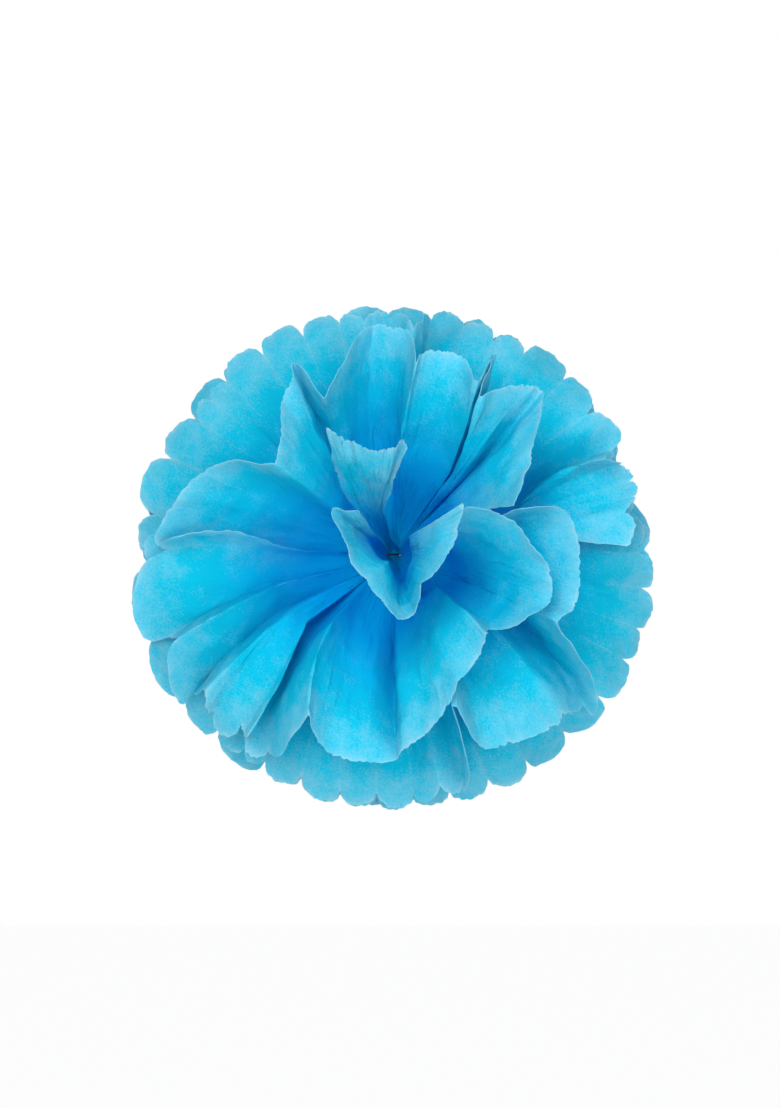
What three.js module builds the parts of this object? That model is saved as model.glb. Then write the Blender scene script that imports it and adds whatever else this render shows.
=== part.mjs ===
// A tissue paper pom pom: a ball of paper petals, as made by hand from a stack of sheets.
// The stack is folded like a fan, tied round its middle with wire and trimmed round at both
// ends. Each half of each sheet is then spread to a half circle and pulled up or down.
//
// Frame: +Z up, millimetres, origin at the middle of the tie. The stack's own axis is Y, so the
// first sheet's petals point along -Y. The folded strip lay along Z: each sheet has an upper fan
// and a lower fan, which meet at the left and right of the ball.

import * as THREE from "three";

const BALL_RADIUS = 125;
const SHEET_COUNT = 8;
const PAPER_WALL = 0.35;
const NECK_GAP = 0.3;
// The squeezed middles of the sheets lie in a round bundle, one pitch apart along Y.
const HUB_RADIUS = (SHEET_COUNT / 2) * (PAPER_WALL + NECK_GAP);
const FAN_SPLIT = 1.5;
const SPREAD_RADIUS = 12;
const BELLY_RADIUS = 70;
const LAST_FOLD_ROW = 104;
const NOTCH_DEPTH = 5.5;
const LOBE_HEIGHT_PER_WIDTH = 0.22;
const SMOOTH_RIM_DEPTH = 0.8;
const SCALLOP_TILTS = [58, 74];
const STEEPEST_WALL_FACTOR = 2.2;
const DROOP = new THREE.Vector3(0.3, 0, -1.9);
// The ball has settled a little wider than tall.
const SETTLING = new THREE.Vector3(1.03, 1, 1);

const WIRE_DIAMETER = 0.8;
const WIRE_CLEARANCE = 0.3;
const TAIL_LENGTH = 15;
const TAIL_TURNS = 2;
const EYE_RADIUS = 2.6;
const WIRE_SIDES = 6;

const PAPER_COLOUR = 0x2fb4e4;
const WIRE_COLOUR = 0x4a4d50;

// A fan is a list of its creases, from one free edge to the other. Each crease has four angles
// in degrees: its azimuth and tilt at the rim, then its azimuth and tilt at the belly radius.
// Azimuth turns anticlockwise from +X when seen from the front, and tilt is the angle away
// from the front pole. A fifth number shortens or lengthens the paper at that crease, and a
// sixth bows the crease sideways between belly and rim, by so many degrees of azimuth.
const FRONT_SHEETS = [
  {
    upper: [
      [83, 23.5, 103.7, 16.6], [84.5, 24.6, 104.7, 17.4], [86, 25.3, 105.7, 18],
      [89.5, 23.2, 107, 18], [94, 23.1, 109, 18.3], [99, 23.1, 111, 18.7], [103, 23.8, 113, 19],
      [106, 24.6, 115, 19.5], [108, 25.8, 117, 20], [110, 27, 119, 20.5], [112.5, 28, 121, 21],
      [114.8, 29.3, 123, 21.5], [116.4, 31, 125.5, 22], [117.6, 32.5, 128, 22],
      [118.7, 34.3, 129.2, 25, 0.92], [120, 36, 130.5, 28, 0.8],
    ],
    lower: [
      [125, 13, 128, 11.8], [134.5, 14.7, 135, 12.8], [140.5, 17, 140, 14.5],
      [153.3, 12.5, 148, 13], [170, 9.6, 156, 9.5], [218, 7.2, 212, 2.5], [252, 9.6, 262, 5],
      [269, 12.2, 277, 9.5], [275.5, 13.1, 280, 11.3], [287, 12.8, 286, 11], [296, 10.9, 294, 10],
      [318, 7.8, 309, 7.5], [338, 9, 333, 6.4], [365, 11.5, 371, 7.3], [386, 15.2, 398, 8],
      [399, 19.7, 416, 10.5],
    ],
    reach: 1,
    curl: 3,
  },
  {
    upper: [
      [22.5, 28, 28.5, 30], [31.7, 34, 34, 32], [38, 39.6, 38, 34], [46, 51.4, 45, 38],
      [49, 57, 47, 45], [53.5, 54, 49, 38], [60, 46.5, 52.5, 37], [62, 43.5, 54, 38],
      [64.5, 60, 55, 52], [65.5, 47, 56, 41], [71.6, 52.9, 71, 44], [77, 53.3, 79, 43],
      [82.3, 50.6, 86, 41], [83.7, 47.5, 87.5, 40], [86, 58, 91, 52], [90, 63, 96, 55],
      [95, 66, 101, 55], [99, 60, 106, 52], [105, 48, 112, 46], [109, 43.5, 115, 45],
      [113.6, 40.3, 118, 44], [117, 56, 122, 47], [118.6, 51, 123.5, 37.5],
      [124.5, 46.4, 127, 35.5], [131.4, 39.5, 133.5, 33], [142, 33.5, 142, 30.5],
      [145.5, 36, 148, 44], [148, 43, 152, 46], [156, 51, 159, 48], [167, 58.5, 170, 54],
      [177, 66, 181, 58],
    ],
    lower: [
      [173, 53.5, 174.5, 47, 1, -4], [178.5, 70, 177, 53, 1, -3], [199.8, 76, 191.5, 60],
      [200.7, 67, 192.5, 49], [215.6, 79, 205, 60], [216.4, 67, 206, 49], [222, 71, 207.5, 46.5],
      [230, 73, 214, 47.5], [230.8, 63, 216.5, 46.5, 1, 3.1], [231.6, 78, 218, 60, 1, 2.9],
      [238.5, 71, 225, 51, 1, -1], [241.8, 42, 226, 33, 1, -2.7], [244.5, 45, 231, 36.5, 1, -2],
      [249, 49, 238, 40.5], [255, 51.3, 248, 44], [262, 51, 259, 46], [270.5, 50, 270, 53, 0.985],
      [271.5, 46.8, 271, 37], [280, 42.4, 283, 31], [288, 36.5, 292, 26.5],
      [296, 31.2, 301, 22.5], [310, 28.6, 313, 21.5], [320, 26.2, 325, 20.5],
      [320.8, 31, 326, 30, 0.88], [336, 33, 340, 34], [341, 35.6, 345, 33], [347, 36.8, 351, 32],
      [355, 35.4, 359, 29.5], [367, 30.4, 370, 26], [383, 25.1, 384, 21.5],
      [395, 19.4, 396, 16.5],
    ],
    reach: 1,
    curl: 2,
  },
  {
    upper: [
      [2, 63.5, 8, 50], [10.6, 68, 12, 52, 1.01], [14, 68.5, 14.5, 53, 1.03],
      [18, 74, 17, 54, 1.04], [22, 71, 18.5, 54.5, 1.02, 3], [25, 62.5, 20, 55, 1, 3.6],
      [26.2, 77.5, 26, 66, 1, 1.6], [37, 79, 37, 64], [47, 81, 46, 58], [58.5, 82, 57, 61],
      [66, 80, 65, 59], [74, 82, 72, 60], [81.5, 82, 80, 62], [85, 72, 88, 61], [91, 79, 92, 64],
      [97, 82, 99, 64], [103, 81, 104, 61], [112, 81, 112, 58], [122.5, 80, 122, 56],
      [133, 81, 134, 56], [139, 76, 139, 51], [145, 78, 145, 53], [156, 79, 156, 57],
      [170, 81, 170, 63], [180, 79, 182, 70],
    ],
    lower: [
      [173, 74, 177, 66], [181, 78, 184, 68], [197.5, 80, 196, 66], [214, 81, 209, 66],
      [225.5, 82, 217, 66], [233, 82, 226, 68], [238.5, 78, 232, 62], [248, 79, 241, 57],
      [258, 78, 250, 57], [266, 79.5, 263, 62], [274.5, 78, 273, 60], [281, 77, 281, 54],
      [285.5, 78, 292, 50], [291.5, 37, 301, 33.5], [294, 51.6, 305, 37], [301.7, 55.5, 311, 39],
      [312, 60, 319, 41], [316, 64, 328, 40.5], [320, 74, 336, 58], [338.5, 40.5, 343, 38],
      [346, 43.6, 350, 38.5], [357, 43.4, 360, 38], [370.5, 42.6, 371, 36.5],
      [379, 39, 379, 33.5], [382.5, 30, 384, 26],
    ],
    reach: 1,
    curl: 2,
  },
  {
    upper: [
      [-7, 83, -4, 72, 1.02], [2, 81, 3, 72, 1.01], [10, 82, 11, 71, 0.97],
      [17, 85, 17, 72, 0.96], [24.5, 86, 24, 75, 0.97], [31, 86, 31, 76], [37, 86, 37, 74],
      [47, 87, 47, 70], [58.5, 88, 58, 72], [66, 87, 66, 70], [74, 87, 73, 69],
      [81.5, 87, 82, 72], [92, 86, 91, 74], [103, 87, 102, 73], [112, 86, 112, 68],
      [122.5, 86, 123, 66], [133, 87, 133, 69], [145, 86, 144, 67], [156, 86, 156, 70],
      [170, 87, 171, 76], [181, 88, 183, 82],
    ],
    lower: [
      [174, 86, 178, 77], [181, 84, 184, 74], [197.5, 86, 198, 72], [206, 87, 204, 72],
      [214, 86, 210, 72], [225.5, 87, 218, 76], [239, 86, 231, 76], [248, 85, 243, 72],
      [258, 85, 254, 73], [266, 86, 264, 74], [274.5, 84, 273, 70], [283, 83, 282, 66],
      [292.4, 84, 293, 65], [302.5, 84, 303, 64], [314, 84, 314, 64], [325.6, 84, 327, 66, 1.02],
      [336, 83, 338, 66, 1.02], [344, 84, 346, 66, 1.02], [353.5, 82, 354, 66, 1.02],
      [362, 80, 363, 66, 1.02], [369, 81, 370, 67, 1.01],
    ],
    reach: 0.99,
    curl: 2,
  },
];
// Each back sheet leans by a share of its front twin's tilt and a fixed part, from the sheet
// next to the middle to the last one.
const BACK_LEANS = [
  { share: 0.6, fixed: 34, reach: 0.975 },
  { share: 0.5, fixed: 36, reach: 0.985 },
  { share: 0.55, fixed: 20, reach: 1 },
  { share: 0.8, fixed: 8, reach: 1 },
];
// Deep folds wave through the back, and through the rims that stand near the ball's middle.
const WAVE_TILT = 14;
const WAVES = 11;
const WAVING_RIM_TILTS = [78, 84];

const { degToRad, radToDeg, smoothstep, clamp } = THREE.MathUtils;

function direction(azimuth, tilt) {
  const turn = degToRad(azimuth);
  const lean = degToRad(tilt);
  return new THREE.Vector3(
    Math.sin(lean) * Math.cos(turn), -Math.cos(lean), Math.sin(lean) * Math.sin(turn));
}

// The way in which a surface point moves when its tilt grows: the paper's outer side.
function tiltWay(azimuth, tilt) {
  const turn = degToRad(azimuth);
  const lean = degToRad(tilt);
  return new THREE.Vector3(
    Math.cos(lean) * Math.cos(turn), Math.sin(lean), Math.cos(lean) * Math.sin(turn));
}

// Azimuth and tilt of a place on a fan: which crease it is at, and how far out from the hub.
function creaseAngles(fan, index, radius) {
  const [rimAzimuth, rimTilt, bellyAzimuth, bellyTilt, , bow = 0] = fan.creases[index];
  const hubAzimuth = fan.hubStart + (180 * index) / (fan.creases.length - 1);
  const spread = smoothstep(radius, HUB_RADIUS, SPREAD_RADIUS);
  const lift = smoothstep(radius, HUB_RADIUS, BELLY_RADIUS);
  const outward = clamp((radius - BELLY_RADIUS) / (BALL_RADIUS - BELLY_RADIUS), 0, 1);
  const azimuth = hubAzimuth + (bellyAzimuth - hubAzimuth) * spread
    + (rimAzimuth - bellyAzimuth) * outward + bow * 4 * outward * (1 - outward);
  const tilt = fan.hubTilt + (bellyTilt - fan.hubTilt) * lift
    + (rimTilt - bellyTilt) * outward ** fan.curl;
  const wave = (1 - Math.cos(degToRad(WAVES * azimuth))) / 2;
  const growth = fan.hubTilt > 90
    ? lift * ((180 - tilt) / 90)
    : outward * smoothstep(rimTilt, ...WAVING_RIM_TILTS);
  return { azimuth, tilt: tilt + WAVE_TILT * wave * growth };
}

function panelAngles(fan, place, radius) {
  const index = Math.min(Math.floor(place), fan.creases.length - 2);
  const share = place - index;
  const before = creaseAngles(fan, index, radius);
  const after = creaseAngles(fan, index + 1, radius);
  return {
    azimuth: before.azimuth + (after.azimuth - before.azimuth) * share,
    tilt: before.tilt + (after.tilt - before.tilt) * share,
    steepness: Math.abs(after.tilt - before.tilt)
      / Math.max(Math.abs(after.azimuth - before.azimuth) * Math.sin(degToRad(before.tilt)), 1e-3),
  };
}

// Rounded ends show where the panels lie flat near the ball's edge, and a wide panel has a high
// one. Petals that were pulled to the front have almost smooth rims.
function rimRadius(fan, place) {
  const index = Math.min(Math.floor(place), fan.creases.length - 2);
  const share = place - index;
  const reachAt = (crease) => crease[4] ?? 1;
  const reach = reachAt(fan.creases[index]) * (1 - share)
    + reachAt(fan.creases[index + 1]) * share;
  const tilt = panelAngles(fan, place, BALL_RADIUS).tilt;
  const flatness = smoothstep(Math.min(tilt, 180 - tilt), ...SCALLOP_TILTS);
  const turn = degToRad(fan.creases[index + 1][0] - fan.creases[index][0]);
  const width = BALL_RADIUS * Math.abs(turn) * Math.sin(degToRad(tilt));
  const notch = SMOOTH_RIM_DEPTH + (NOTCH_DEPTH - SMOOTH_RIM_DEPTH) * flatness;
  const height = SMOOTH_RIM_DEPTH + (LOBE_HEIGHT_PER_WIDTH * width - SMOOTH_RIM_DEPTH) * flatness;
  const lobe = Math.sqrt(1 - (2 * share - 1) ** 2);
  return BALL_RADIUS * fan.reach * reach - notch + height * lobe;
}

function paperPoint(fan, place, radius) {
  const { azimuth, tilt, steepness } = panelAngles(fan, place, radius);
  const sag = (radius / BALL_RADIUS) ** 2 * Math.sin(degToRad(tilt)) ** 2;
  const middle = direction(azimuth, tilt).multiplyScalar(radius)
    .multiply(SETTLING)
    .add(new THREE.Vector3(0, 0, fan.side * FAN_SPLIT))
    .addScaledVector(DROOP, sag);
  const nearHub = radius <= HUB_RADIUS;
  const way = tiltWay(azimuth, tilt);
  if (nearHub) way.add(new THREE.Vector3(0, 1, 0)).normalize();
  const factor = Math.min(Math.hypot(1, steepness), STEEPEST_WALL_FACTOR);
  return { middle, way: way.multiplyScalar((PAPER_WALL / 2) * (nearHub ? 1 : factor)) };
}

// A closed shell of paper thickness from a surface: each point is drawn once on either side.
function paperShell(points, triangles) {
  const positions = [];
  for (const side of [1, -1]) {
    for (const { middle, way } of points) {
      positions.push(...middle.clone().addScaledVector(way, side).toArray());
    }
  }
  const count = points.length;
  const indices = [];
  const edges = new Map();
  for (const [a, b, c] of triangles) {
    indices.push(a, b, c, c + count, b + count, a + count);
    for (const [from, to] of [[a, b], [b, c], [c, a]]) {
      if (!edges.delete(`${to},${from}`)) edges.set(`${from},${to}`, [from, to]);
    }
  }
  for (const [from, to] of edges.values()) {
    indices.push(from, from + count, to, to, from + count, to + count);
  }
  const geometry = new THREE.BufferGeometry();
  geometry.setAttribute("position", new THREE.Float32BufferAttribute(positions, 3));
  geometry.setIndex(indices);
  return geometry;
}

const FOLD_ROWS = [HUB_RADIUS, 10, 28, BELLY_RADIUS, LAST_FOLD_ROW];
const LOBE_STEPS = 3;

// One sheet: its two fans and the flat strip between them that the wire squeezes.
function sheetGeometry(fans) {
  const points = [];
  const triangles = [];
  const addPoint = (point) => points.push(point) - 1;
  const hubRows = fans.map((fan) => {
    const panels = fan.creases.length - 1;
    const rows = FOLD_ROWS.map((radius) => fan.creases.map(
      (crease, index) => addPoint(paperPoint(fan, index, radius))));
    for (let row = 0; row + 1 < rows.length; row += 1) {
      for (let panel = 0; panel < panels; panel += 1) {
        const [a, b] = [rows[row][panel], rows[row][panel + 1]];
        const [c, d] = [rows[row + 1][panel], rows[row + 1][panel + 1]];
        triangles.push([a, b, d], [a, d, c]);
      }
    }
    const rim = [];
    for (let step = 0; step <= panels * LOBE_STEPS; step += 1) {
      const place = step / LOBE_STEPS;
      rim.push(addPoint(paperPoint(fan, place, rimRadius(fan, place))));
    }
    const last = rows[rows.length - 1];
    for (let panel = 0; panel < panels; panel += 1) {
      const [r0, r1, r2, r3] = rim.slice(panel * LOBE_STEPS, panel * LOBE_STEPS + 4);
      const [a, b] = [last[panel], last[panel + 1]];
      triangles.push([a, r1, r0], [a, r2, r1], [a, b, r2], [b, r3, r2]);
    }
    return rows[0];
  });
  const [upper, lower] = hubRows;
  const across = lower.slice().reverse();
  for (let panel = 0; panel + 1 < upper.length; panel += 1) {
    const [a, b] = [upper[panel], upper[panel + 1]];
    const [c, d] = [across[panel], across[panel + 1]];
    triangles.push([a, c, b], [b, c, d]);
  }
  return paperShell(points, triangles);
}

function fansOf({ upper, lower, reach, curl }, hubTilt) {
  return [
    { creases: upper, side: 1, hubStart: 0, hubTilt, reach, curl },
    { creases: lower, side: -1, hubStart: 180, hubTilt, reach, curl },
  ];
}

// A back sheet has its front twin's creases, mirrored to the back and turned half round.
function backLists({ upper, lower, curl }, { share, fixed, reach }) {
  const backTilt = (tilt) => 180 - (share * tilt + fixed);
  const turned = (creases, turn) => creases.map(
    ([rimAzimuth, rimTilt, bellyAzimuth, bellyTilt, ...rest]) => [
      rimAzimuth + turn, backTilt(rimTilt), bellyAzimuth + turn, backTilt(bellyTilt), ...rest]);
  return { upper: turned(lower, -180), lower: turned(upper, 180), reach, curl };
}

// The tie: one length of wire, once round the neck, its two ends twisted together into a tail.
class TieCurve extends THREE.Curve {
  getPoint(t, target = new THREE.Vector3()) {
    const wireRadius = WIRE_DIAMETER / 2;
    const loopRadius = HUB_RADIUS + PAPER_WALL / 2 + WIRE_CLEARANCE + wireRadius;
    const strandOffset = wireRadius + WIRE_CLEARANCE / 2;
    const tailStart = loopRadius + 1.5;
    const twist = (share, phase) => {
      const angle = TAIL_TURNS * 2 * Math.PI * share + phase;
      return target.set(tailStart + TAIL_LENGTH * share,
        strandOffset * Math.sin(angle), strandOffset * Math.cos(angle));
    };
    if (t < 0.25) return twist(1 - t / 0.25, 0);
    if (t < 0.65) {
      const share = (t - 0.25) / 0.4;
      const angle = 2 * Math.PI * share;
      const flare = Math.max(0, Math.cos(angle)) ** 8;
      return target.set(loopRadius * Math.cos(angle) + (tailStart - loopRadius) * flare,
        -loopRadius * Math.sin(angle), strandOffset * Math.cos(Math.PI * share));
    }
    if (t < 0.87) return twist((t - 0.65) / 0.22, Math.PI);
    const angle = 1.7 * Math.PI * ((t - 0.87) / 0.13);
    return target.set(
      tailStart + TAIL_LENGTH + WIRE_DIAMETER + EYE_RADIUS * Math.sin(angle), 0,
      -strandOffset - EYE_RADIUS * (1 - Math.cos(angle)));
  }
}

function tieGeometry() {
  const section = new THREE.Shape();
  for (let side = 0; side < WIRE_SIDES; side += 1) {
    const angle = (2 * Math.PI * side) / WIRE_SIDES;
    const place = [(WIRE_DIAMETER / 2) * Math.cos(angle), (WIRE_DIAMETER / 2) * Math.sin(angle)];
    if (side === 0) section.moveTo(...place);
    else section.lineTo(...place);
  }
  return new THREE.ExtrudeGeometry(section, { steps: 56, extrudePath: new TieCurve() });
}

const pomPom = new THREE.Group();

function addPiece(name, geometry, colour, roughness, metalness) {
  const material = new THREE.MeshStandardMaterial({ color: colour, roughness, metalness });
  const mesh = new THREE.Mesh(geometry, material);
  mesh.name = name;
  pomPom.add(mesh);
}

const backSheets = FRONT_SHEETS.slice().reverse().map(
  (lists, index) => backLists(lists, BACK_LEANS[index]));
[...FRONT_SHEETS, ...backSheets].forEach((lists, index) => {
  const hubTilt = radToDeg(Math.acos(1 - (2 * index + 1) / SHEET_COUNT));
  const fans = fansOf(lists, hubTilt);
  addPiece(`sheet_${index + 1}`, sheetGeometry(fans), PAPER_COLOUR, 0.85, 0);
});
addPiece("tie_wire", tieGeometry(), WIRE_COLOUR, 0.6, 1);

export default pomPom;
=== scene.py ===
# %% [markdown]
# A tissue paper pom pom is a stack of thin sheets, folded like a fan, tied in the middle and
# pulled open into a ball. This lesson dresses its plain CAD frame: every sheet is drawn again
# with soft folds, crumples and torn fibres, and gets a tissue paper finish.

import math

import bpy
import numpy as np
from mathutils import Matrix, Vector, noise


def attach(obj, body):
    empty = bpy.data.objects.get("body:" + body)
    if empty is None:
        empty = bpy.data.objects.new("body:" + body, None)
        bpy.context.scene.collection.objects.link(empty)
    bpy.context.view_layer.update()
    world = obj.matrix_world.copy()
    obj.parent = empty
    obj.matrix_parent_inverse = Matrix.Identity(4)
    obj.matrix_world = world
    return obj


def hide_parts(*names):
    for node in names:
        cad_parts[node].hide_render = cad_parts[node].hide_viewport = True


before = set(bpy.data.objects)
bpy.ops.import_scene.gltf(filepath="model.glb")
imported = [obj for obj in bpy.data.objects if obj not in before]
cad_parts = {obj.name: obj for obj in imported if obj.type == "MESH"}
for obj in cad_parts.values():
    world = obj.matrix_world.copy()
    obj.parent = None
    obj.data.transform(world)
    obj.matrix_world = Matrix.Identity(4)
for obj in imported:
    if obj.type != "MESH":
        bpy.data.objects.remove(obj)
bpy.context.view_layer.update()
print("CAD nodes:", sorted(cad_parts))

# %% [markdown]
# The ball is seen level and from straight in front, from far enough away that its front petals
# look no larger than its rim. The picture is taller than it is wide, so the lens is set for the
# tall side.

# %% The camera
CAMERA_DISTANCE = 2.5
CAMERA_LENS = 165.0
CAMERA_SIDE_STEP = -0.002
CAMERA_HEIGHT = 0.0005

camera_data = bpy.data.cameras.new("camera")
camera_data.lens = CAMERA_LENS
camera = bpy.data.objects.new("camera", camera_data)
camera.location = (CAMERA_SIDE_STEP, -CAMERA_DISTANCE, CAMERA_HEIGHT)
camera.rotation_euler = (math.radians(90), 0, 0)
bpy.context.scene.collection.objects.link(camera)
bpy.context.scene.camera = camera
print("camera:", tuple(camera.location), "lens:", camera_data.lens)

# %% [markdown]
# The shape of each sheet is given at its creases, as in the CAD frame. Each crease has its
# azimuth and tilt at the rim, then its azimuth and tilt at the belly, 70 mm from the tie.
# Azimuth turns anticlockwise from the right as seen from the front, and tilt is the angle away
# from the front pole. A fifth number shortens or lengthens the paper at that crease, and a
# sixth bows the crease sideways. A high curl keeps the paper straight until close to its rim.

# %% The creases of the four front sheets
FRONT_SHEETS = [
    {
        "upper": [
            (83, 23.5, 103.7, 16.6), (84.5, 24.6, 104.7, 17.4), (86, 25.3, 105.7, 18),
            (89.5, 23.2, 107, 18), (94, 23.1, 109, 18.3), (99, 23.1, 111, 18.7),
            (103, 23.8, 113, 19), (106, 24.6, 115, 19.5), (108, 25.8, 117, 20),
            (110, 27, 119, 20.5), (112.5, 28, 121, 21), (114.8, 29.3, 123, 21.5),
            (116.4, 31, 125.5, 22), (117.6, 32.5, 128, 22), (118.7, 34.3, 129.2, 25, 0.92),
            (120, 36, 130.5, 28, 0.8),
        ],
        "lower": [
            (125, 13, 128, 11.8), (134.5, 14.7, 135, 12.8), (140.5, 17, 140, 14.5),
            (153.3, 12.5, 148, 13), (170, 9.6, 156, 9.5), (218, 7.2, 212, 2.5),
            (252, 9.6, 262, 5), (269, 12.2, 277, 9.5), (275.5, 13.1, 280, 11.3),
            (287, 12.8, 286, 11), (296, 10.9, 294, 10), (318, 7.8, 309, 7.5), (338, 9, 333, 6.4),
            (365, 11.5, 371, 7.3), (386, 15.2, 398, 8), (399, 19.7, 416, 10.5),
        ],
        "reach": 1,
        "curl": 3,
    },
    {
        "upper": [
            (22.5, 28, 28.5, 30), (31.7, 34, 34, 32), (38, 39.6, 38, 34), (46, 51.4, 45, 38),
            (49, 57, 47, 45), (53.5, 54, 49, 38), (60, 46.5, 52.5, 37), (62, 43.5, 54, 38),
            (64.5, 60, 55, 52), (65.5, 47, 56, 41), (71.6, 52.9, 71, 44), (77, 53.3, 79, 43),
            (82.3, 50.6, 86, 41), (83.7, 47.5, 87.5, 40), (86, 58, 91, 52), (90, 63, 96, 55),
            (95, 66, 101, 55), (99, 60, 106, 52), (105, 48, 112, 46), (109, 43.5, 115, 45),
            (113.6, 40.3, 118, 44), (117, 56, 122, 47), (118.6, 51, 123.5, 37.5),
            (124.5, 46.4, 127, 35.5), (131.4, 39.5, 133.5, 33), (142, 33.5, 142, 30.5),
            (145.5, 36, 148, 44), (148, 43, 152, 46), (156, 51, 159, 48), (167, 58.5, 170, 54),
            (177, 66, 181, 58),
        ],
        "lower": [
            (173, 53.5, 174.5, 47, 1, -4), (178.5, 70, 177, 53, 1, -3), (199.8, 76, 191.5, 60),
            (200.7, 67, 192.5, 49), (215.6, 79, 205, 60), (216.4, 67, 206, 49),
            (222, 71, 207.5, 46.5), (230, 73, 214, 47.5), (230.8, 63, 216.5, 46.5, 1, 3.1),
            (231.6, 78, 218, 60, 1, 2.9), (238.5, 71, 225, 51, 1, -1),
            (241.8, 42, 226, 33, 1, -2.7), (244.5, 45, 231, 36.5, 1, -2), (249, 49, 238, 40.5),
            (255, 51.3, 248, 44), (262, 51, 259, 46), (270.5, 50, 270, 53, 0.985),
            (271.5, 46.8, 271, 37), (280, 42.4, 283, 31), (288, 36.5, 292, 26.5),
            (296, 31.2, 301, 22.5), (310, 28.6, 313, 21.5), (320, 26.2, 325, 20.5),
            (320.8, 31, 326, 30, 0.88), (336, 33, 340, 34), (341, 35.6, 345, 33),
            (347, 36.8, 351, 32), (355, 35.4, 359, 29.5), (367, 30.4, 370, 26),
            (383, 25.1, 384, 21.5), (395, 19.4, 396, 16.5),
        ],
        "reach": 1,
        "curl": 2,
    },
    {
        "upper": [
            (2, 63.5, 8, 50), (10.6, 68, 12, 52, 1.01), (14, 68.5, 14.5, 53, 1.03),
            (18, 74, 17, 54, 1.04), (22, 71, 18.5, 54.5, 1.02, 3), (25, 62.5, 20, 55, 1, 3.6),
            (26.2, 77.5, 26, 66, 1, 1.6), (37, 79, 37, 64), (47, 81, 46, 58), (58.5, 82, 57, 61),
            (66, 80, 65, 59), (74, 82, 72, 60), (81.5, 82, 80, 62), (85, 72, 88, 61),
            (91, 79, 92, 64), (97, 82, 99, 64), (103, 81, 104, 61), (112, 81, 112, 58),
            (122.5, 80, 122, 56), (133, 81, 134, 56), (139, 76, 139, 51), (145, 78, 145, 53),
            (156, 79, 156, 57), (170, 81, 170, 63), (180, 79, 182, 70),
        ],
        "lower": [
            (173, 74, 177, 66), (181, 78, 184, 68), (197.5, 80, 196, 66), (214, 81, 209, 66),
            (225.5, 82, 217, 66), (233, 82, 226, 68), (238.5, 78, 232, 62), (248, 79, 241, 57),
            (258, 78, 250, 57), (266, 79.5, 263, 62), (274.5, 78, 273, 60), (281, 77, 281, 54),
            (285.5, 78, 292, 50), (291.5, 37, 301, 33.5), (294, 51.6, 305, 37),
            (301.7, 55.5, 311, 39), (312, 60, 319, 41), (316, 64, 328, 40.5), (320, 74, 336, 58),
            (338.5, 40.5, 343, 38), (346, 43.6, 350, 38.5), (357, 43.4, 360, 38),
            (370.5, 42.6, 371, 36.5), (379, 39, 379, 33.5), (382.5, 30, 384, 26),
        ],
        "reach": 1,
        "curl": 2,
    },
    {
        "upper": [
            (-7, 83, -4, 72, 1.02), (2, 81, 3, 72, 1.01), (10, 82, 11, 71, 0.97),
            (17, 85, 17, 72, 0.96), (24.5, 86, 24, 75, 0.97), (31, 86, 31, 76), (37, 86, 37, 74),
            (47, 87, 47, 70), (58.5, 88, 58, 72), (66, 87, 66, 70), (74, 87, 73, 69),
            (81.5, 87, 82, 72), (92, 86, 91, 74), (103, 87, 102, 73), (112, 86, 112, 68),
            (122.5, 86, 123, 66), (133, 87, 133, 69), (145, 86, 144, 67), (156, 86, 156, 70),
            (170, 87, 171, 76), (181, 88, 183, 82),
        ],
        "lower": [
            (174, 86, 178, 77), (181, 84, 184, 74), (197.5, 86, 198, 72), (206, 87, 204, 72),
            (214, 86, 210, 72), (225.5, 87, 218, 76), (239, 86, 231, 76), (248, 85, 243, 72),
            (258, 85, 254, 73), (266, 86, 264, 74), (274.5, 84, 273, 70), (283, 83, 282, 66),
            (292.4, 84, 293, 65), (302.5, 84, 303, 64), (314, 84, 314, 64),
            (325.6, 84, 327, 66, 1.02), (336, 83, 338, 66, 1.02), (344, 84, 346, 66, 1.02),
            (353.5, 82, 354, 66, 1.02), (362, 80, 363, 66, 1.02), (369, 81, 370, 67, 1.01),
        ],
        "reach": 0.99,
        "curl": 2,
    },
]

# %% [markdown]
# The back of the ball was pulled open more evenly. Each back sheet leans by a share of its
# front twin's tilt, turned half round, so the two halves don't mirror each other.

# %% The back sheets
BACK_LEANS = [
    {"share": 0.6, "fixed": 34, "reach": 0.975},
    {"share": 0.5, "fixed": 36, "reach": 0.985},
    {"share": 0.55, "fixed": 20, "reach": 1},
    {"share": 0.8, "fixed": 8, "reach": 1},
]


def crease_table(creases):
    """The four angles, the reach and the bow of each crease, one crease in a row."""
    usual = (0, 0, 0, 0, 1, 0)
    return np.array([list(crease) + list(usual[len(crease):]) for crease in creases], float)


def turned_to_back(creases, turn, lean):
    table = crease_table(creases)
    table[:, [0, 2]] += turn
    table[:, [1, 3]] = 180 - (lean["share"] * table[:, [1, 3]] + lean["fixed"])
    return table


sheets = [
    {"upper": crease_table(sheet["upper"]), "lower": crease_table(sheet["lower"]),
     "reach": sheet["reach"], "curl": sheet["curl"]}
    for sheet in FRONT_SHEETS
]
for sheet, lean in zip(reversed(FRONT_SHEETS), BACK_LEANS):
    sheets.append({
        "upper": turned_to_back(sheet["lower"], -180, lean),
        "lower": turned_to_back(sheet["upper"], 180, lean),
        "reach": lean["reach"],
        "curl": sheet["curl"],
    })
print("sheets:", len(sheets))

# %% [markdown]
# Tissue is too soft for a straight panel between two creases. A curve that is level at each
# ridge and valley gives the rounded folds, and a share of the straight line keeps a hint of
# the crease.

# %% Soft folds
FOLD_SOFTNESS = 0.8


def smooth_step(values, low, high):
    share = np.clip((values - low) / (high - low), 0, 1)
    return share * share * (3 - 2 * share)


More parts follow.
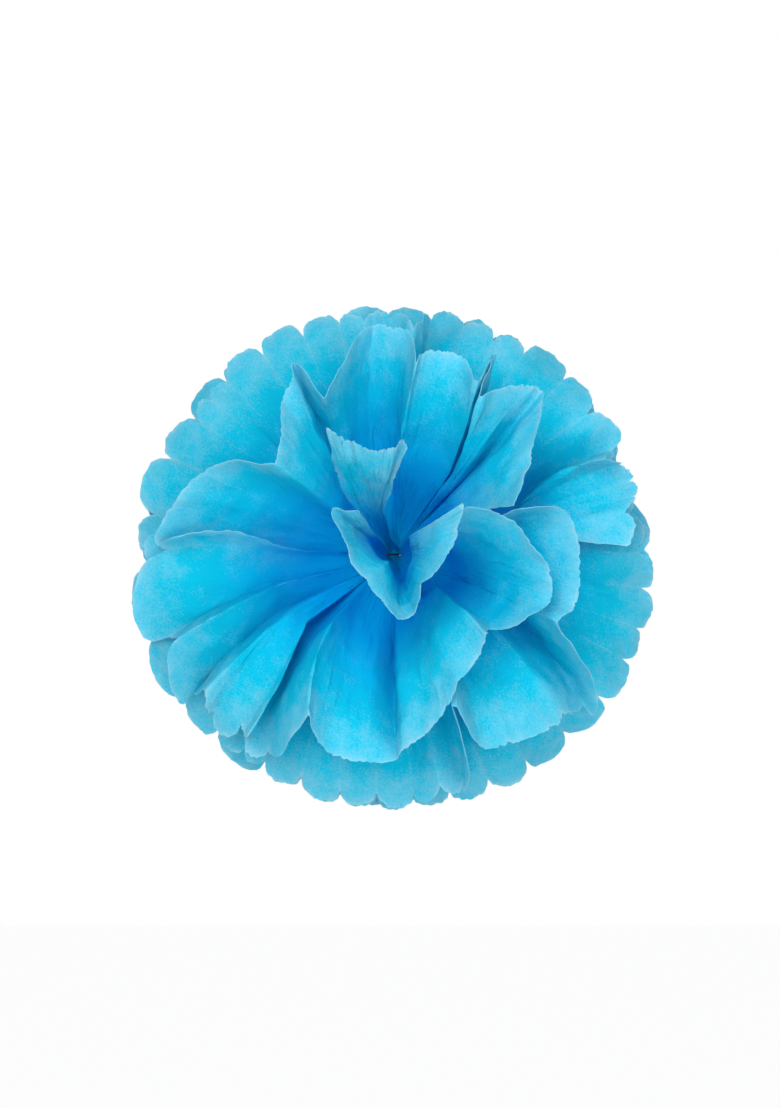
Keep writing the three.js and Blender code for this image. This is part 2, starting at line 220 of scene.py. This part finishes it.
def along_fan(values, places):
    """The value at each place between the creases, on a curve that never overshoots."""
    steps = np.diff(values)
    before, after = steps[:-1], steps[1:]
    same_way = before * after > 0
    slopes = np.zeros(len(values))
    slopes[0], slopes[-1] = steps[0], steps[-1]
    slopes[1:-1] = np.where(
        same_way, 2 * before * after / np.where(same_way, before + after, 1), 0)
    index = np.minimum(places.astype(int), len(steps) - 1)
    share = places - index
    straight = values[index] + steps[index] * share
    bend = share * (1 - share) * (
        (1 - share) * (slopes[index] - steps[index])
        - share * (slopes[index + 1] - steps[index]))
    return straight + FOLD_SOFTNESS * bend


# %% [markdown]
# The stack was trimmed round at both ends, so each panel between two creases ends in a rounded
# lobe, and a wide panel has a high one. The lobes show where the paper lies flat near the
# ball's edge, and petals that were pulled to the front have almost smooth rims. The lobes are
# cut deeper here than in the CAD frame, as they look in the photo. All cut edges are a little
# frayed.

# %% The rim of a fan
BALL_RADIUS = 0.125
FLAT_TILTS = (58, 74)
NOTCH_DEPTH = 0.0072
LOBE_HEIGHT_PER_WIDTH = 0.29
SMOOTH_RIM_DEPTH = 0.0008
FRAY_DEPTH = 0.0011
FRAY_PITCH = 0.0024
FRAY_SEED_STEP = 5.3
FRAYED_LENGTH_PER_PANEL = 0.02


def frayed(lengths, seed):
    """A small uneven depth for each place along a cut edge, from its length in metres."""
    return np.array([
        FRAY_DEPTH * noise.noise(Vector((length / FRAY_PITCH, seed * FRAY_SEED_STEP, 0)))
        for length in lengths])


def lying_flat(rim_tilt):
    """1 where the rim lies near the ball's edge, and 0 where it stands to the front or back."""
    return smooth_step(np.minimum(rim_tilt, 180 - rim_tilt), *FLAT_TILTS)


def lobed_rim(table, reach, crease_reach, rim_tilt, places):
    """The radius of the cut edge at each place, before it is frayed."""
    flatness = lying_flat(rim_tilt)
    panel = np.minimum(places.astype(int), len(table) - 2)
    turns = np.radians(np.abs(np.diff(table[:, 0])))[panel]
    width = BALL_RADIUS * turns * np.sin(np.radians(rim_tilt))
    notch = SMOOTH_RIM_DEPTH + (NOTCH_DEPTH - SMOOTH_RIM_DEPTH) * flatness
    height = SMOOTH_RIM_DEPTH + (LOBE_HEIGHT_PER_WIDTH * width - SMOOTH_RIM_DEPTH) * flatness
    lobe = np.sqrt(np.clip(1 - (2 * (places % 1) - 1) ** 2, 0, 1))
    return BALL_RADIUS * reach * crease_reach - notch + height * lobe


# %% [markdown]
# The grid of one fan runs along the rim and out from the tie. The angles follow the same rules
# as the CAD frame: the creases leave the tie as a small half circle, spread to their azimuth
# by 12 mm out, and lean to their tilt by the belly. Where the paper lies flat near the ball's
# edge, the old ridges and valleys still stand up in turn as low pleats, which the frame leaves
# out.

# %% The grid of a fan
SHEET_COUNT = 8
NECK_PITCH = 0.00065
HUB_RADIUS = NECK_PITCH * SHEET_COUNT / 2
FAN_SPLIT = 0.0015
SPREAD_RADIUS = 0.012
BELLY_RADIUS = 0.070
WAVE_TILT = 14
WAVES = 11
WAVING_RIM_TILTS = (78, 84)
DROOP = np.array([0.0003, 0, -0.0019])
SETTLING = np.array([1.03, 1, 1])
PLEAT_TILT = 3.4
PLEAT_USUAL = 0.65
PLEAT_CHANGE = 0.35
PLEAT_PACE = 2.3


def fan_points(table, side, hub_tilt, reach, curl, places, rows):
    """Points of a fan as an array of rows, places and XYZ, with the radius of each."""
    rim_azimuth, rim_tilt, belly_azimuth, belly_tilt, crease_reach, bow = (
        along_fan(table[:, column], places) for column in range(6))
    hub_azimuth = (0 if side > 0 else 180) + 180 * places / places[-1]
    rim_radius = lobed_rim(table, reach, crease_reach, rim_tilt, places)
    rim_radius = rim_radius + frayed(places * FRAYED_LENGTH_PER_PANEL, side + hub_tilt)

    radius = HUB_RADIUS + (rim_radius[None, :] - HUB_RADIUS) * rows[:, None]
    spread = smooth_step(radius, HUB_RADIUS, SPREAD_RADIUS)
    lift = smooth_step(radius, HUB_RADIUS, BELLY_RADIUS)
    outward = np.clip((radius - BELLY_RADIUS) / (BALL_RADIUS - BELLY_RADIUS), 0, 1)
    azimuth = (hub_azimuth + (belly_azimuth - hub_azimuth) * spread
               + (rim_azimuth - belly_azimuth) * outward
               + bow * 4 * outward * (1 - outward))
    tilt = (hub_tilt + (belly_tilt - hub_tilt) * lift
            + (rim_tilt - belly_tilt) * outward ** curl)
    wave = (1 - np.cos(np.radians(WAVES * azimuth))) / 2
    if hub_tilt > 90:
        growth = lift * (180 - tilt) / 90
    else:
        growth = outward * smooth_step(rim_tilt, *WAVING_RIM_TILTS)
    tilt = tilt + WAVE_TILT * wave * growth
    creases = np.arange(len(table))
    pleats = (-1.0) ** creases * (PLEAT_USUAL + PLEAT_CHANGE * np.sin(PLEAT_PACE * creases))
    tilt = tilt + PLEAT_TILT * along_fan(pleats, places) * lying_flat(rim_tilt) * outward
    for column, way in ((0, 1), (-1, -1)):
        fray = frayed(radius[:, column], side * way + hub_tilt)
        azimuth[:, column] += way * np.degrees(fray / radius[:, column])

    turn, lean = np.radians(azimuth), np.radians(tilt)
    points = np.stack([
        radius * np.sin(lean) * np.cos(turn),
        -radius * np.cos(lean),
        radius * np.sin(lean) * np.sin(turn),
    ], axis=-1)
    sag = (radius / BALL_RADIUS) ** 2 * np.sin(lean) ** 2
    split = np.array([0, 0, side * FAN_SPLIT])
    return points * SETTLING + split + sag[..., None] * DROOP, radius


# %% [markdown]
# Real tissue is never quite smooth. Slow swells and small crumples push each point along its
# normal. They grow from nothing at the tie, where the folds are pressed flat.

# %% Crumples
SWELL_SIZE = 0.030
SWELL_HEIGHT = 0.0020
CRUMPLE_SIZE = 0.010
CRUMPLE_HEIGHT = 0.0012
CRUMPLE_START = 0.012
SEED_STEPS = (3.1, 7.7, 1.3)
SHORTEST_NORMAL = 1e-9


def surface_normals(points):
    down = np.gradient(points, axis=0)
    across = np.gradient(points, axis=1)
    normals = np.cross(across, down)
    length = np.linalg.norm(normals, axis=-1, keepdims=True)
    return normals / np.maximum(length, SHORTEST_NORMAL)


def crumpled(points, radius, seed):
    height = np.zeros(radius.shape)
    growth = smooth_step(radius, CRUMPLE_START, BALL_RADIUS)
    shift = Vector([seed * step for step in SEED_STEPS])
    for row in range(points.shape[0]):
        for column in range(points.shape[1]):
            place = Vector(points[row, column])
            height[row, column] = (
                SWELL_HEIGHT * noise.noise(place / SWELL_SIZE + shift)
                + CRUMPLE_HEIGHT * noise.noise(place / CRUMPLE_SIZE - shift))
    return points + (height * growth)[..., None] * surface_normals(points)


# %% [markdown]
# A sheet is an upper and a lower fan with the squeezed strip between them. Its UV map is the
# flat sheet in metres, 0.5 across the folds and 0.25 along them, so paper fibres keep their
# size. Two more values go with each point: how far it is from the cut edge, and its place
# between the creases. The sheets in front get a finer grid than those at the back, and the
# rows lie a little closer towards the rim.

# %% The surface of a sheet
SHEET_WIDTH = 0.5
FRONT_STEPS = 16
BACK_STEPS = 6
FRONT_ROWS = 44
BACK_ROWS = 40
ROW_CROWDING = 0.9
FAN_SEED_STEP = 10


def sheet_surface(number, sheet):
    """Vertices, faces, flat places, edge gaps and fold places of one sheet."""
    front = number <= len(FRONT_SHEETS)
    steps, row_count = (FRONT_STEPS, FRONT_ROWS) if front else (BACK_STEPS, BACK_ROWS)
    panels = len(sheet["upper"]) - 1
    places = np.linspace(0, panels, panels * steps + 1)
    rows = np.linspace(0, 1, row_count) ** ROW_CROWDING
    hub_tilt = math.degrees(math.acos(1 - (2 * number - 1) / SHEET_COUNT))

    vertices, faces, flat_places, edge_gaps, fold_places = [], [], [], [], []
    hub_rows = []
    for name, side in (("upper", 1), ("lower", -1)):
        points, radius = fan_points(
            sheet[name], side, hub_tilt, sheet["reach"], sheet["curl"], places, rows)
        points = crumpled(points, radius, number + FAN_SEED_STEP * side)
        start = len(vertices)
        count = len(places)
        index = start + np.arange(row_count * count).reshape(row_count, count)
        vertices.extend(points.reshape(-1, 3).tolist())
        faces.extend(np.stack([
            index[:-1, :-1], index[:-1, 1:], index[1:, 1:], index[1:, :-1],
        ], axis=-1).reshape(-1, 4).tolist())
        across = places / panels * SHEET_WIDTH
        if side < 0:
            across = SHEET_WIDTH - across
        flat = np.stack([np.broadcast_to(across, radius.shape), side * radius], axis=-1)
        flat_places.extend(flat.reshape(-1, 2).tolist())
        gaps = np.minimum.reduce([
            radius[-1:] - radius,
            np.linalg.norm(points - points[:, :1], axis=-1),
            np.linalg.norm(points - points[:, -1:], axis=-1)])
        edge_gaps.extend(gaps.reshape(-1).tolist())
        fold_places.extend(np.broadcast_to(places, radius.shape).reshape(-1).tolist())
        hub_rows.append(index[0])
    upper, lower = hub_rows[0], hub_rows[1][::-1]
    faces.extend(np.stack([
        upper[:-1], lower[:-1], lower[1:], upper[1:]], axis=-1).tolist())
    return vertices, faces, flat_places, edge_gaps, fold_places


# %% [markdown]
# The surface becomes a mesh, and Solidify gives it a wall. Tissue is about 0.03 mm thick, which
# is too thin to draw well, so the wall is 0.25 mm. Smooth shading makes the folds look soft, and
# marking only the sharpest edges keeps the cut rim crisp instead of bending its light.

# %% Building the sheets
PAPER_WALL = 0.00025
SHARP_ANGLE = math.radians(50)


def build_sheet(number, sheet):
    vertices, faces, flat_places, edge_gaps, fold_places = sheet_surface(number, sheet)
    mesh = bpy.data.meshes.new(f"paper_{number}")
    mesh.from_pydata(vertices, [], faces)
    uv_map = mesh.uv_layers.new(name="flat_sheet")
    corners = np.array([loop.vertex_index for loop in mesh.loops])
    uv_map.data.foreach_set("uv", np.array(flat_places)[corners].reshape(-1))
    for attribute, values in (("edge_gap", edge_gaps), ("fold_place", fold_places)):
        layer = mesh.attributes.new(attribute, "FLOAT", "POINT")
        layer.data.foreach_set("value", values)
    mesh.shade_smooth()
    paper = bpy.data.objects.new(f"paper_{number}", mesh)
    bpy.context.scene.collection.objects.link(paper)

    bpy.ops.object.select_all(action="DESELECT")
    paper.select_set(True)
    bpy.context.view_layer.objects.active = paper
    wall = paper.modifiers.new("wall", "SOLIDIFY")
    wall.thickness = PAPER_WALL
    wall.offset = 0
    bpy.ops.object.modifier_apply(modifier="wall")
    paper.data.set_sharp_from_angle(angle=SHARP_ANGLE)
    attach(paper, "root")
    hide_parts(f"sheet_{number}")
    print(paper.name, "faces:", len(paper.data.polygons))
    return paper


papers = [build_sheet(number, sheet) for number, sheet in enumerate(sheets, 1)]

# %% [markdown]
# Colours are written as they look on screen, as hex values, and turned to the linear values
# that the shader works with. One small function adds a node with its settings and links.

# %% Colour and node helpers


def linear(hex_colour):
    """A hex colour as linear red, green, blue and a full alpha."""
    parts = [int(hex_colour[start:start + 2], 16) / 255 for start in (1, 3, 5)]
    return [part / 12.92 if part <= 0.04045 else ((part + 0.055) / 1.055) ** 2.4
            for part in parts] + [1.0]


def add_node(tree, kind, settings=None, inputs=None):
    """Adds a node. An input is a plain value, or a socket of another node to link."""
    new = tree.nodes.new(kind)
    for name, value in (settings or {}).items():
        setattr(new, name, value)
    for name, value in (inputs or {}).items():
        if isinstance(value, bpy.types.NodeSocket):
            tree.links.new(value, new.inputs[name])
        else:
            new.inputs[name].default_value = value
    return new


def new_material(name):
    material = bpy.data.materials.new(name)
    material.use_nodes = True
    material.node_tree.nodes.clear()
    return material, material.node_tree


# %% [markdown]
# Dyed tissue paper is a thin web of cellulose fibres. It is matt, lets some light through, and
# shows its fibres as a fine mottle. Light that bounces between the petals is dyed again each
# time, so the paper near the tie looks deeper blue; that shade is painted into its colour, as a
# deeper blue towards the tie. Towards its cut edges the paper is lit from both sides and looks
# paler, and that light is painted in too, as paler bands along the edges. The edge itself is
# frayed to bare fibres. A fibre is about 0.02 mm wide, too fine to show, so the web's mottle is
# drawn 1 mm coarse.

# %% Tissue paper colour, with painted shade near the tie
PAPER_BLUE = "#0CD0E8"
PAPER_PALE = "#ACDDE9"
# The deepest blue is painted shade: it stands for the bounced light that darkens the middle.
PAPER_PAINTED_SHADE = "#00C8FA"
FIBRE_SIZE = 0.0010
CLOUD_SIZE = 0.009
PAINTED_SHADE_WITHIN = 0.042
BLUE_BEYOND = 0.114

tissue, tree = new_material("tissue_paper_dyed_with_painted_light")
flat = add_node(tree, "ShaderNodeUVMap", {"uv_map": "flat_sheet"})
place = add_node(tree, "ShaderNodeTexCoord")
edge = add_node(tree, "ShaderNodeAttribute", {"attribute_name": "edge_gap"})
fold = add_node(tree, "ShaderNodeAttribute", {"attribute_name": "fold_place"})

fibres = add_node(tree, "ShaderNodeTexNoise", {}, {
    "Vector": place.outputs["Object"], "Scale": 1 / FIBRE_SIZE, "Detail": 3.0,
    "Roughness": 0.7, "Distortion": 0.6})
clouds = add_node(tree, "ShaderNodeTexNoise", {}, {
    "Vector": place.outputs["Object"], "Scale": 1 / CLOUD_SIZE, "Detail": 3.0})

# Within these distances of the tie the colour turns to the deeper blue, as painted shade.
distance = add_node(tree, "ShaderNodeVectorMath", {"operation": "LENGTH"}, {
    0: place.outputs["Object"]})
beyond_painted_shade = add_node(tree, "ShaderNodeMapRange", {"interpolation_type": "SMOOTHSTEP"}, {
    "Value": distance.outputs["Value"], "From Min": PAINTED_SHADE_WITHIN, "From Max": BLUE_BEYOND})
body = add_node(tree, "ShaderNodeMix", {"data_type": "RGBA"}, {
    "Factor": beyond_painted_shade.outputs["Result"], "A": linear(PAPER_PAINTED_SHADE), "B": linear(PAPER_BLUE)})

# %% [markdown]
# Six things make the paper paler, and two of them also make it deeper in places: a wide and a
# narrow soft band along its edges, which are painted light, the frayed line of the edge, whose
# width is uneven and which is paler as bare fibres and as painted edge light, the thin and thick
# spots of the fibre web, the larger clouds in it, and a painted highlight on the pressed line of
# every fold. All of them fade out towards the tie, where the paper is painted deep blue as
# shade.

# %% Painted light at the edges
# The paler bands along the cut edges are painted light, where thin paper is lit from both sides.
WIDE_PAINTED_LIGHT_WIDTH = 0.026
WIDE_PAINTED_LIGHT_STRENGTH = 0.40
NARROW_PAINTED_LIGHT_WIDTH = 0.004
NARROW_PAINTED_LIGHT_STRENGTH = 0.12
FRAY_NARROWEST = 0.0003
FRAY_WIDEST = 0.0016
FRAY_AND_EDGE_LIGHT_PALENESS = 0.35

wide_painted_light = add_node(tree, "ShaderNodeMapRange", {"interpolation_type": "SMOOTHSTEP"}, {
    "Value": edge.outputs["Fac"], "From Min": 0.0, "From Max": WIDE_PAINTED_LIGHT_WIDTH,
    "To Min": WIDE_PAINTED_LIGHT_STRENGTH, "To Max": 0.0})
narrow_painted_light = add_node(tree, "ShaderNodeMapRange", {"interpolation_type": "SMOOTHSTEP"}, {
    "Value": edge.outputs["Fac"], "From Min": 0.0, "From Max": NARROW_PAINTED_LIGHT_WIDTH,
    "To Min": NARROW_PAINTED_LIGHT_STRENGTH, "To Max": 0.0})
fray_width = add_node(tree, "ShaderNodeMapRange", {}, {
    "Value": clouds.outputs["Fac"], "From Min": 0.42, "From Max": 0.62,
    "To Min": FRAY_NARROWEST, "To Max": FRAY_WIDEST})
# The frayed line is paler as bare fibres, and also as painted edge light.
fray = add_node(tree, "ShaderNodeMapRange", {}, {
    "Value": edge.outputs["Fac"], "From Min": 0.0, "From Max": fray_width.outputs["Result"],
    "To Min": FRAY_AND_EDGE_LIGHT_PALENESS, "To Max": 0.0})

# %% Paler spots, and a painted highlight on each fold
WEB_DEEPEST = -0.28
WEB_PALEST = 0.19
CLOUD_DEEPEST = -0.18
CLOUD_PALEST = 0.13
# The thin paler line along every crease is a painted highlight, where the fold catches light.
PAINTED_CREASE_HIGHLIGHT_WIDTH = 0.05
PAINTED_CREASE_HIGHLIGHT_STRENGTH = 0.06

mottle = add_node(tree, "ShaderNodeMapRange", {}, {
    "Value": fibres.outputs["Fac"], "From Min": 0.3, "From Max": 0.7, "To Min": WEB_DEEPEST,
    "To Max": WEB_PALEST})
cloudy = add_node(tree, "ShaderNodeMapRange", {}, {
    "Value": clouds.outputs["Fac"], "From Min": 0.3, "From Max": 0.7, "To Min": CLOUD_DEEPEST,
    "To Max": CLOUD_PALEST})
# Near each crease the colour is made paler, as a painted highlight on the fold.
from_fold = add_node(tree, "ShaderNodeMath", {"operation": "PINGPONG"}, {
    0: fold.outputs["Fac"], 1: 0.5})
painted_crease_highlight = add_node(tree, "ShaderNodeMapRange", {"interpolation_type": "SMOOTHSTEP"}, {
    "Value": from_fold.outputs["Value"], "From Min": 0.0, "From Max": PAINTED_CREASE_HIGHLIGHT_WIDTH,
    "To Min": PAINTED_CREASE_HIGHLIGHT_STRENGTH, "To Max": 0.0})
paleness_and_painted_light = fray.outputs["Result"]
for band in (wide_painted_light, narrow_painted_light, mottle, cloudy, painted_crease_highlight):
    total = add_node(tree, "ShaderNodeMath", {"operation": "ADD"}, {
        0: paleness_and_painted_light, 1: band.outputs["Result"]})
    paleness_and_painted_light = total.outputs["Value"]
# Towards the tie the paleness fades out, so the painted shade there stays deep blue.
fading = add_node(tree, "ShaderNodeMath", {"operation": "MULTIPLY"}, {
    0: paleness_and_painted_light, 1: beyond_painted_shade.outputs["Result"]})
colour = add_node(tree, "ShaderNodeMix", {"data_type": "RGBA", "clamp_factor": True}, {
    "Factor": fading.outputs["Value"], "A": body.outputs["Result"], "B": linear(PAPER_PALE)})

# %% [markdown]
# Handling leaves fine wrinkles, about 9 mm apart and twice as long, that run mostly along the
# folds. They and the fibres are bumps only, too shallow to show at the rim.

# %% Wrinkles
WRINKLE_SIZE = 0.014
WRINKLE_STRETCH = (1.6, 0.7, 1.0)
WRINKLE_STRENGTH = 0.8
WRINKLE_DEPTH = 0.0015
FIBRE_STRENGTH = 0.7
FIBRE_DEPTH = 0.0007

stretched = add_node(tree, "ShaderNodeMapping", {}, {
    "Vector": flat.outputs["UV"], "Scale": WRINKLE_STRETCH})
wrinkles = add_node(tree, "ShaderNodeTexNoise", {"noise_type": "RIDGED_MULTIFRACTAL"}, {
    "Vector": stretched.outputs["Vector"], "Scale": 1 / WRINKLE_SIZE, "Detail": 2.0,
    "Distortion": 0.4})
wrinkle_bump = add_node(tree, "ShaderNodeBump", {}, {
    "Height": wrinkles.outputs["Fac"], "Strength": WRINKLE_STRENGTH,
    "Distance": WRINKLE_DEPTH})
fibre_bump = add_node(tree, "ShaderNodeBump", {}, {
    "Height": fibres.outputs["Fac"], "Strength": FIBRE_STRENGTH, "Distance": FIBRE_DEPTH,
    "Normal": wrinkle_bump.outputs["Normal"]})

# %% [markdown]
# Uncoated tissue is matt and has almost no gloss. Much of the light that it meets comes out on
# its other side, so a translucent shader is mixed half and half into the surface.

# %% Light and finish
PAPER_ROUGHNESS = 0.85
PAPER_GLOSS = 0.05
LIGHT_LET_THROUGH = 0.5

surface = add_node(tree, "ShaderNodeBsdfPrincipled", {}, {
    "Base Color": colour.outputs["Result"], "Roughness": PAPER_ROUGHNESS,
    "Specular IOR Level": PAPER_GLOSS, "Normal": fibre_bump.outputs["Normal"]})
glow = add_node(tree, "ShaderNodeBsdfTranslucent", {}, {
    "Color": colour.outputs["Result"], "Normal": fibre_bump.outputs["Normal"]})
blend = add_node(tree, "ShaderNodeMixShader", {}, {
    "Fac": LIGHT_LET_THROUGH, 1: surface.outputs["BSDF"], 2: glow.outputs["BSDF"]})
add_node(tree, "ShaderNodeOutputMaterial", {}, {"Surface": blend.outputs["Shader"]})
for paper in papers:
    paper.data.materials.clear()
    paper.data.materials.append(tissue)

# %% [markdown]
# The tie is soft binding wire, annealed black. Its thin oxide skin is dull, a little lighter in
# spots, so nothing glints between the petals. Its blue-black colour is partly painted shade: it
# is drawn darker and bluer than the slot's own grey, so the wire reads as the shade at the
# middle of the ball, where no wire shows.

# %% Binding wire
# Both wire colours are oxide, darkened and blued further as painted shade.
OXIDE_AND_SHADE_DARK = "#1B2129"
OXIDE_AND_SHADE_LIGHT = "#262A30"
OXIDE_GLOSS = 0.25
SMOOTHEST_OXIDE = 0.55
ROUGHEST_OXIDE = 0.7
STAIN_SIZE = 0.002

oxide, tree = new_material("annealed_binding_wire")
place = add_node(tree, "ShaderNodeTexCoord")
stain = add_node(tree, "ShaderNodeTexNoise", {}, {
    "Vector": place.outputs["Object"], "Scale": 1 / STAIN_SIZE, "Detail": 3.0})
# The stains mix two colours, both darkened as painted shade.
oxide_and_shade_colour = add_node(tree, "ShaderNodeMix", {"data_type": "RGBA"}, {
    "Factor": stain.outputs["Fac"], "A": linear(OXIDE_AND_SHADE_DARK), "B": linear(OXIDE_AND_SHADE_LIGHT)})
oxide_rough = add_node(tree, "ShaderNodeMapRange", {}, {
    "Value": stain.outputs["Fac"], "To Min": SMOOTHEST_OXIDE, "To Max": ROUGHEST_OXIDE})
metal = add_node(tree, "ShaderNodeBsdfPrincipled", {}, {
    "Base Color": oxide_and_shade_colour.outputs["Result"], "Specular IOR Level": OXIDE_GLOSS,
    "Roughness": oxide_rough.outputs["Result"]})
add_node(tree, "ShaderNodeOutputMaterial", {}, {"Surface": metal.outputs["BSDF"]})
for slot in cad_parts["tie_wire"].material_slots:
    slot.material = oxide
print("materials:", tissue.name, oxide.name)

# %% [markdown]
# The ball hangs well above a pale floor, in front of plain white. The floor glows white only to
# the camera, by most of its colour, and keeps the rest for the ball's shadow.

# %% The floor
FLOOR_HEIGHT = -0.62
FLOOR_SIZE = 12.0
FLOOR_PAINT = "#F2F2F2"
PLAIN_WHITE = "#FFFFFF"
FLOOR_GLOW = 0.94

bpy.ops.object.select_all(action="DESELECT")
bpy.ops.mesh.primitive_plane_add(size=FLOOR_SIZE, location=(0, 0, FLOOR_HEIGHT))
floor = bpy.context.object
floor.name = "floor"
floor_paint, tree = new_material("pale_floor")
rays = add_node(tree, "ShaderNodeLightPath")
matt = add_node(tree, "ShaderNodeBsdfDiffuse", {}, {"Color": linear(FLOOR_PAINT)})
white = add_node(tree, "ShaderNodeEmission", {}, {"Color": linear(PLAIN_WHITE), "Strength": 1.0})
seen = add_node(tree, "ShaderNodeMath", {"operation": "MULTIPLY"}, {
    0: rays.outputs["Is Camera Ray"], 1: FLOOR_GLOW})
floor_mix = add_node(tree, "ShaderNodeMixShader", {}, {
    "Fac": seen.outputs["Value"], 1: matt.outputs["BSDF"], 2: white.outputs["Emission"]})
add_node(tree, "ShaderNodeOutputMaterial", {}, {"Surface": floor_mix.outputs["Shader"]})
floor.data.materials.append(floor_paint)

# %% [markdown]
# The room gives soft, slightly cool light from all sides. The camera and glossy reflections see
# plain white instead, so the white background hardly lights the matt paper.

# %% The room
ROOM_LIGHT = "#F2F7FC"
ROOM_STRENGTH = 0.76

world = bpy.data.worlds.new("studio")
bpy.context.scene.world = world
world.use_nodes = True
tree = world.node_tree
tree.nodes.clear()
rays = add_node(tree, "ShaderNodeLightPath")
seen = add_node(tree, "ShaderNodeMath", {"operation": "MAXIMUM"}, {
    0: rays.outputs["Is Camera Ray"], 1: rays.outputs["Is Glossy Ray"]})
room = add_node(tree, "ShaderNodeBackground", {}, {
    "Color": linear(ROOM_LIGHT), "Strength": ROOM_STRENGTH})
backdrop = add_node(tree, "ShaderNodeBackground", {}, {
    "Color": linear(PLAIN_WHITE), "Strength": 1.0})
world_mix = add_node(tree, "ShaderNodeMixShader", {}, {
    "Fac": seen.outputs["Value"], 1: room.outputs["Background"],
    2: backdrop.outputs["Background"]})
add_node(tree, "ShaderNodeOutputWorld", {}, {"Surface": world_mix.outputs["Shader"]})

# %% [markdown]
# Three large round lamps shape the petals: a key from the upper left, a weaker fill from the
# right, and one from behind that shines through the paper. Large lamps give soft shadows.

# %% The lamps


def soft_lamp(name, place, size, power):
    data = bpy.data.lights.new(name, "AREA")
    data.shape = "DISK"
    data.size = size
    data.energy = power
    lamp = bpy.data.objects.new(name, data)
    lamp.location = place
    lamp.rotation_euler = (-Vector(place)).to_track_quat("-Z", "Y").to_euler()
    bpy.context.scene.collection.objects.link(lamp)


soft_lamp("key_lamp", place=(-0.5, -2.2, 0.9), size=1.4, power=43)
soft_lamp("fill_lamp", place=(0.9, -2.2, -0.1), size=1.4, power=22)
soft_lamp("back_lamp", place=(0.7, 2.0, 1.1), size=1.2, power=20)
bpy.context.scene.view_settings.view_transform = "Standard"
print("lamps:", len(bpy.data.lights))
